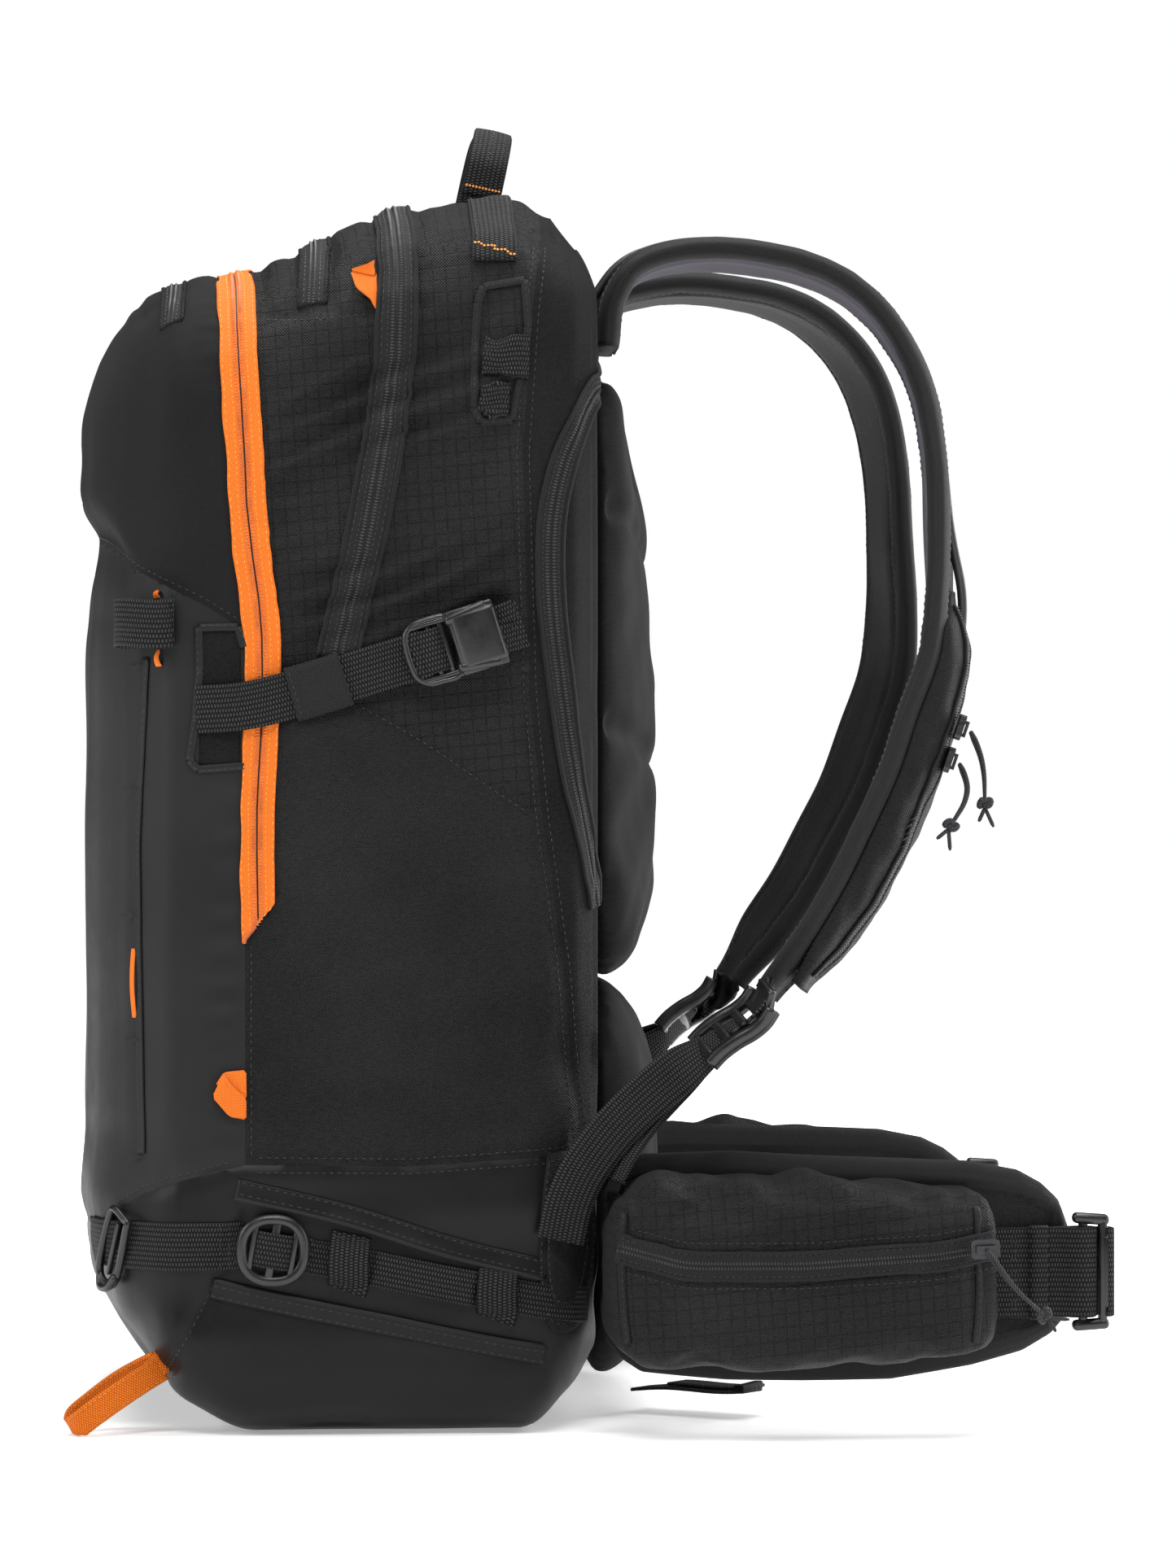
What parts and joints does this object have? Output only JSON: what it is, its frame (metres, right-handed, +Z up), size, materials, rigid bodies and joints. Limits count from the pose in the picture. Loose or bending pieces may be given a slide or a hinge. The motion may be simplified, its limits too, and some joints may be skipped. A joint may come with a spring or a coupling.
{
  "type": "avalanche airbag backpack",
  "caption": "Ski touring backpack with a fan-driven airbag system, padded shoulder straps, hip belt with pockets, compression and ski-carry straps, on its base.",
  "frame": {"origin": "centre of the bounding box's footprint at the base, without the free zip cords", "axes": "+Z up, +X towards the wearer (back panel, straps and hip belt), -X the pack's outer front, -Y the wearer's right side"},
  "size_m": [0.4422, 0.3969, 0.5674],
  "materials": {
    "ripstop": "near-black woven ripstop fabric",
    "front_fabric": "charcoal matte fabric with a smooth lower panel",
    "coated_base": "charcoal coated fabric",
    "pad_foam": "black moulded foam under fabric",
    "zip_orange": "orange coil zip",
    "zip_black": "black coil zip",
    "webbing": "black ribbed webbing",
    "webbing_orange": "orange ribbed webbing",
    "moulded_plastic": "black moulded plastic",
    "strap_fabric": "black padded strap fabric",
    "cord": "black limp pull cord",
    "cable": "black sheathed cable",
    "frame_plastic": "black sheet plastic",
    "stay_alloy": "plain aluminium",
    "case_plastic": "grey moulded plastic",
    "motor_steel": "brushed steel",
    "capacitor_shell": "anodised aluminium",
    "cell_jacket": "jacketed cells",
    "board": "green circuit board",
    "airbag_fabric": "orange nylon, folded",
    "slider_metal": "black painted metal",
    "trigger_orange": "orange moulded plastic"
  },
  "bodies": {
    "pack": {"main_compartment": "ripstop", "front_compartment": "front_fabric", "base_boot": "coated_base", "back_panel": "pad_foam", "lumbar_pad": "pad_foam", "frame_sheet": "frame_plastic", "frame_stay": "stay_alloy", "front_zip": "zip_orange", "airbag_zip": "zip_black", "back_panel_zip": "zip_black", "top_pocket_zips": "zip_black", "compression_webbing_right": "webbing", "compression_webbing_left": "webbing", "compression_sockets": "moulded_plastic", "ski_flaps": "coated_base", "ski_webbing_right": "webbing", "ski_webbing_left": "webbing", "tri_glides": "moulded_plastic", "front_hooks": "moulded_plastic", "ice_axe_loop": "webbing_orange", "pull_loops": "webbing_orange", "tool_loops": "webbing", "shoulder_strap_right": "strap_fabric", "shoulder_strap_left": "strap_fabric", "strap_pocket": "strap_fabric", "strap_webbing_right": "webbing", "strap_webbing_left": "webbing", "ladder_locks": "moulded_plastic", "inflator_case_front": "case_plastic", "inflator_case_rear": "case_plastic", "motor": "motor_steel", "supercapacitors": "capacitor_shell", "control_board": "board", "airbag_folded": "airbag_fabric", "outlet_duct": "frame_plastic", "trigger_cable": "cable", "battery_cells": "cell_jacket", "leg_strap": "webbing", "window_webbing": "webbing"},
    "carry_handle": {"carry_handle": "webbing"},
    "belt_right": {"belt_wing_right": "strap_fabric", "belt_pocket_right": "ripstop", "belt_webbing_right": "webbing"},
    "belt_left": {"belt_wing_left": "strap_fabric", "belt_pocket_left": "ripstop", "belt_webbing_left": "webbing"},
    "belt_buckle_right": {"belt_buckle_right": "moulded_plastic"},
    "belt_buckle_left": {"belt_buckle_left": "moulded_plastic"},
    "compression_clip_right": {"compression_clip_right": "moulded_plastic"},
    "compression_clip_left": {"compression_clip_left": "moulded_plastic"},
    "impeller": {"impeller": "case_plastic"},
    "trigger_handle": {"trigger_handle": "trigger_orange"},
    "belt_zip_right": {"belt_zip_slider_right": "slider_metal", "belt_zip_cord_right": "cord"},
    "belt_zip_left": {"belt_zip_slider_left": "slider_metal"},
    "strap_zip_upper": {"strap_zip_slider_upper": "slider_metal", "strap_zip_cord_upper": "cord"},
    "strap_zip_lower": {"strap_zip_slider_lower": "slider_metal", "strap_zip_cord_lower": "cord"},
    "power_button": {"power_button": "trigger_orange"}
  },
  "joints": [
    {"name": "carry_handle_fold", "type": "hinge", "parent": "pack", "child": "carry_handle", "pos_m": [-0.0385, 0, 0.5414], "axis": [0, 1, 0], "range_deg": [-85, 70]},
    {"name": "belt_wing_right_fold", "type": "hinge", "parent": "pack", "child": "belt_right", "pos_m": [0.006, -0.112, 0.07], "axis": [0, 0, 1], "range_deg": [0, 35]},
    {"name": "belt_wing_left_fold", "type": "hinge", "parent": "pack", "child": "belt_left", "pos_m": [0.006, 0.112, 0.07], "axis": [0, 0, -1], "range_deg": [0, 35]},
    {"name": "belt_buckle_right_swivel", "type": "hinge", "parent": "belt_right", "child": "belt_buckle_right", "pos_m": [0.2075, -0.1515, 0.068], "axis": [0, 0, 1], "range_deg": [-20, 20]},
    {"name": "belt_buckle_left_swivel", "type": "hinge", "parent": "belt_left", "child": "belt_buckle_left", "pos_m": [0.2075, 0.1515, 0.068], "axis": [0, 0, -1], "range_deg": [-20, 20]},
    {"name": "compression_release_right", "type": "slide", "parent": "pack", "child": "compression_clip_right", "axis": [-0.9553, 0, -0.2957], "range_m": [0, 0.022]},
    {"name": "compression_release_left", "type": "slide", "parent": "pack", "child": "compression_clip_left", "axis": [-0.9553, 0, -0.2957], "range_m": [0, 0.022]},
    {"name": "impeller_spin", "type": "hinge", "parent": "pack", "child": "impeller", "pos_m": [-0.076, 0, 0.285], "axis": [1, 0, 0], "continuous": true},
    {"name": "trigger_pull", "type": "slide", "parent": "pack", "child": "trigger_handle", "axis": [-0.3287, 0, -0.9444], "range_m": [0, 0.02]},
    {"name": "power_button_press", "type": "slide", "parent": "pack", "child": "power_button", "axis": [0, 1, 0], "range_m": [0, 0.0015], "stiffness_N_per_m": 500},
    {"name": "belt_zip_right_slide", "type": "slide", "parent": "belt_right", "child": "belt_zip_right", "axis": [-0.9989, 0, -0.0461], "range_m": [0, 0.125]},
    {"name": "belt_zip_left_slide", "type": "slide", "parent": "belt_left", "child": "belt_zip_left", "axis": [-0.9989, 0, -0.0461], "range_m": [0, 0.125]},
    {"name": "strap_zip_upper_slide", "type": "slide", "parent": "pack", "child": "strap_zip_upper", "axis": [0.3287, 0, 0.9444], "range_m": [0, 0.016]},
    {"name": "strap_zip_lower_slide", "type": "slide", "parent": "pack", "child": "strap_zip_lower", "axis": [-0.3287, 0, -0.9444], "range_m": [0, 0.024]}
  ]
}
